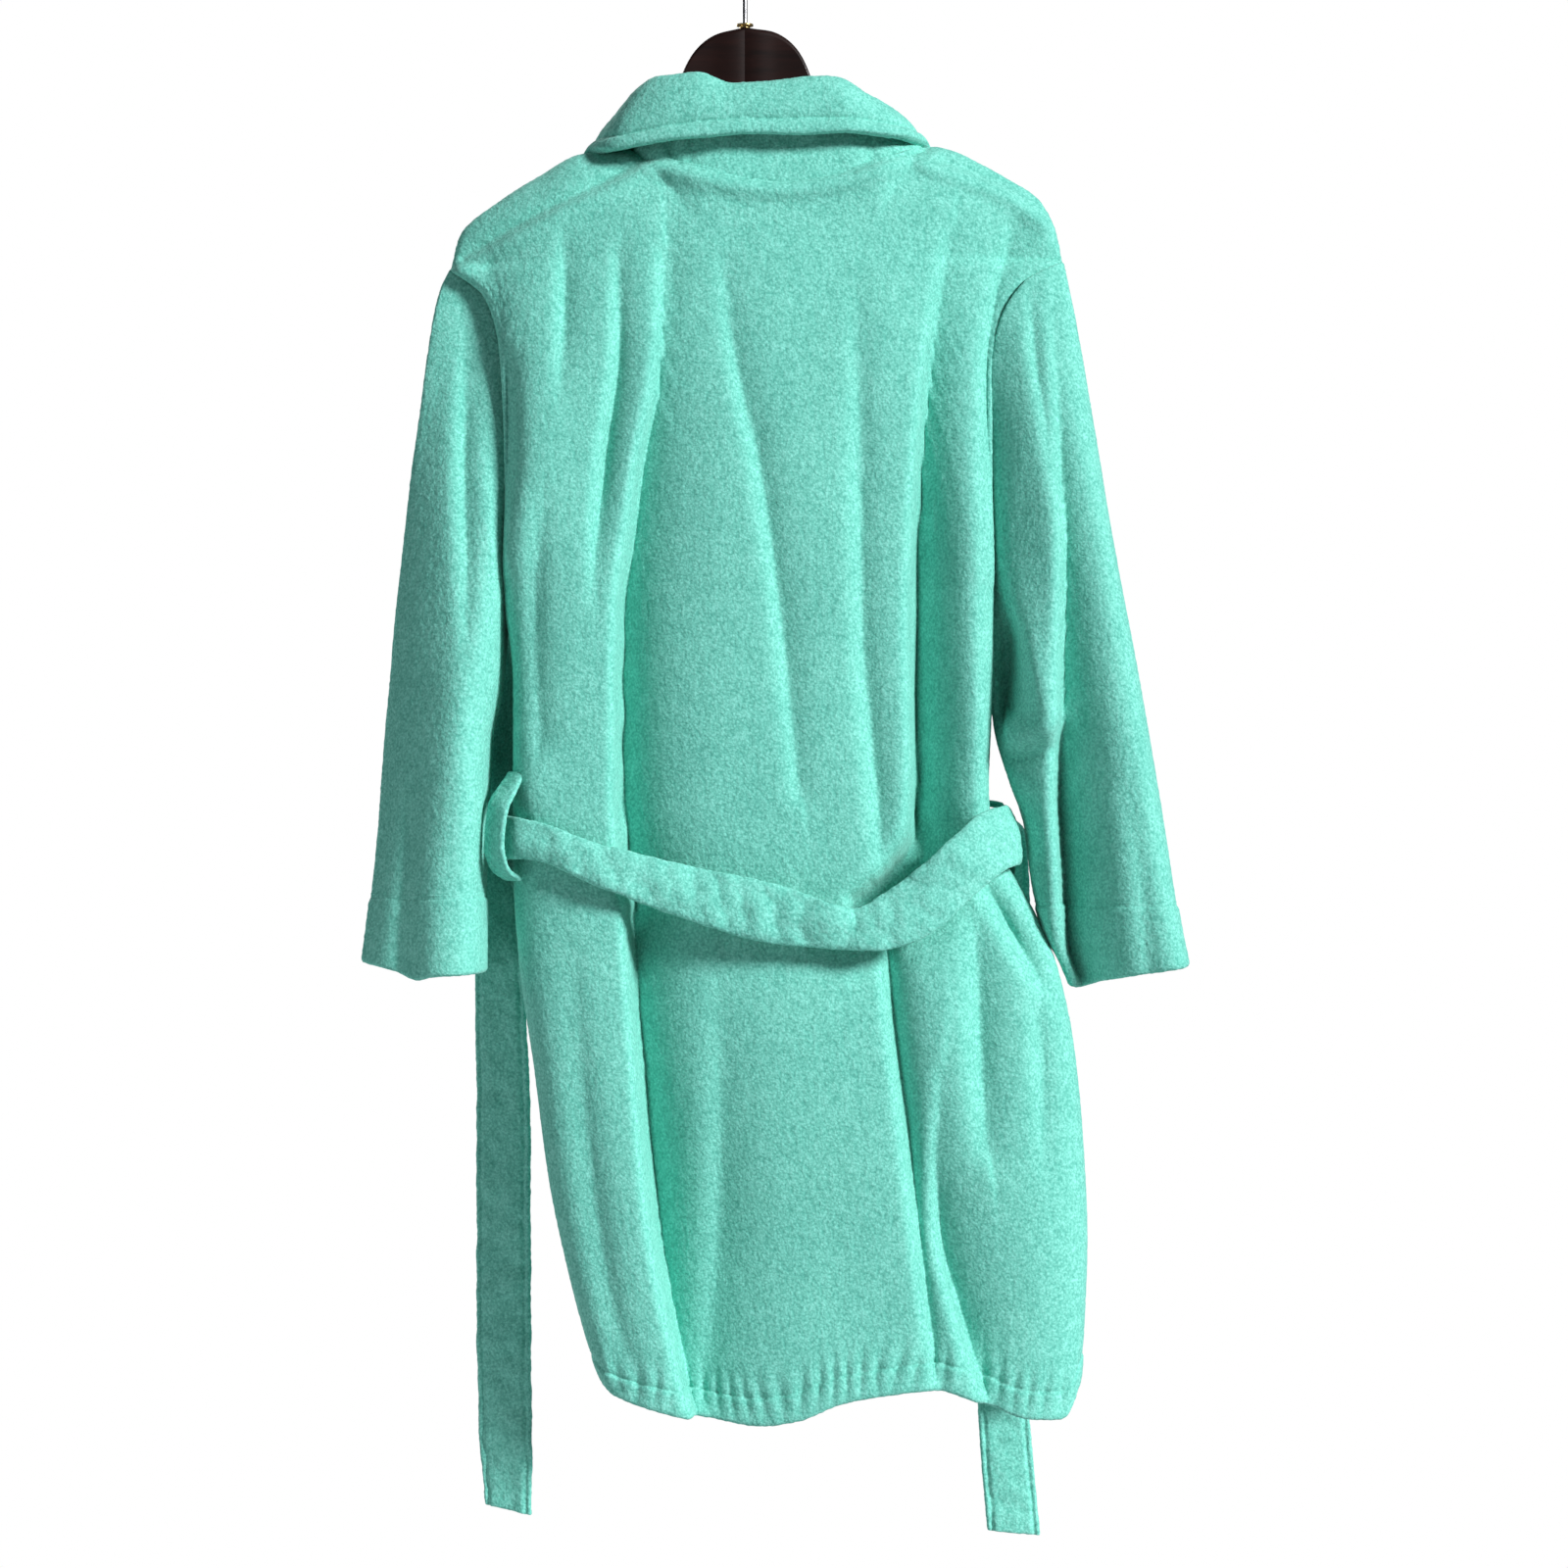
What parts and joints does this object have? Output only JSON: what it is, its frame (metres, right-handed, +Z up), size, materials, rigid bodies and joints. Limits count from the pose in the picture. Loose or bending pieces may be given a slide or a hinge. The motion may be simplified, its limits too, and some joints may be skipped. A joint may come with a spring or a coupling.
{
  "type": "bathrobe",
  "caption": "Short terry bathrobe hanging from a contoured wooden hanger, with a folded collar, wide sleeves, patch pockets and a loose tie belt held by side loops.",
  "frame": {"origin": "axis of the rail that the hook hangs from, in the plane of the hook's eye", "axes": "+Z up, +X the wearer's right, +Y the way the wearer faces, so the back faces -Y; the rail runs along Y"},
  "size_m": [0.62, 0.158, 1.2485],
  "materials": {
    "terry": "mint green cotton terry, uncut loops",
    "tape": "woven cotton tape",
    "label": "blank woven satin",
    "hanger_wood": "dark mahogany lacquer",
    "dowel_wood": "plain beech",
    "hook_steel": "polished",
    "ferrule_brass": "polished"
  },
  "bodies": {
    "hook": {"hook": "hook_steel"},
    "robe": {"back_panel": "terry", "left_front_panel": "terry", "right_front_panel": "terry", "left_collar_end": "terry", "right_collar_end": "terry", "left_pocket": "terry", "right_pocket": "terry", "collar_stand": "terry", "collar_fall": "terry", "belt_back_span": "terry", "left_belt_loop": "terry", "right_belt_loop": "terry", "hang_loop": "tape", "neck_label": "label", "care_label": "label", "hanger_left_arm": "hanger_wood", "hanger_right_arm": "hanger_wood", "hanger_dowels": "dowel_wood", "hook_ferrule": "ferrule_brass"},
    "left_sleeve": {"left_sleeve": "terry", "left_cuff": "terry"},
    "right_sleeve": {"right_sleeve": "terry", "right_cuff": "terry"},
    "left_front": {"left_front_edge": "terry", "left_lapel": "terry", "left_front_band": "terry"},
    "right_front": {"right_front_edge": "terry", "right_lapel": "terry", "right_front_band": "terry"},
    "left_tail": {"belt_left_tail": "terry"},
    "right_tail": {"belt_right_tail": "terry"}
  },
  "joints": [
    {"name": "hook_swivel", "type": "hinge", "parent": "hook", "child": "robe", "pos_m": [0, 0, -0.075], "axis": [0, 0, 1], "continuous": true},
    {"name": "left_sleeve_swing", "type": "hinge", "parent": "robe", "child": "left_sleeve", "pos_m": [-0.227, 0, -0.248], "axis": [0, 1, 0], "range_deg": [0, 45]},
    {"name": "right_sleeve_swing", "type": "hinge", "parent": "robe", "child": "right_sleeve", "pos_m": [0.242, 0, -0.25], "axis": [0, -1, 0], "range_deg": [0, 45]},
    {"name": "left_front_open", "type": "hinge", "parent": "robe", "child": "left_front", "pos_m": [-0.027, 0.0705, -0.7], "axis": [0, 0, 1], "range_deg": [0, 80]},
    {"name": "right_front_open", "type": "hinge", "parent": "robe", "child": "right_front", "pos_m": [0.097, 0.0705, -0.7], "axis": [0, 0, -1], "range_deg": [0, 80]},
    {"name": "left_tail_swing", "type": "hinge", "parent": "robe", "child": "left_tail", "pos_m": [-0.1945, 0.038, -0.703], "axis": [1, 0, 0], "range_deg": [0, 60]},
    {"name": "right_tail_swing", "type": "hinge", "parent": "robe", "child": "right_tail", "pos_m": [0.203, 0.082, -0.703], "axis": [1, 0, 0], "range_deg": [0, 60]}
  ]
}
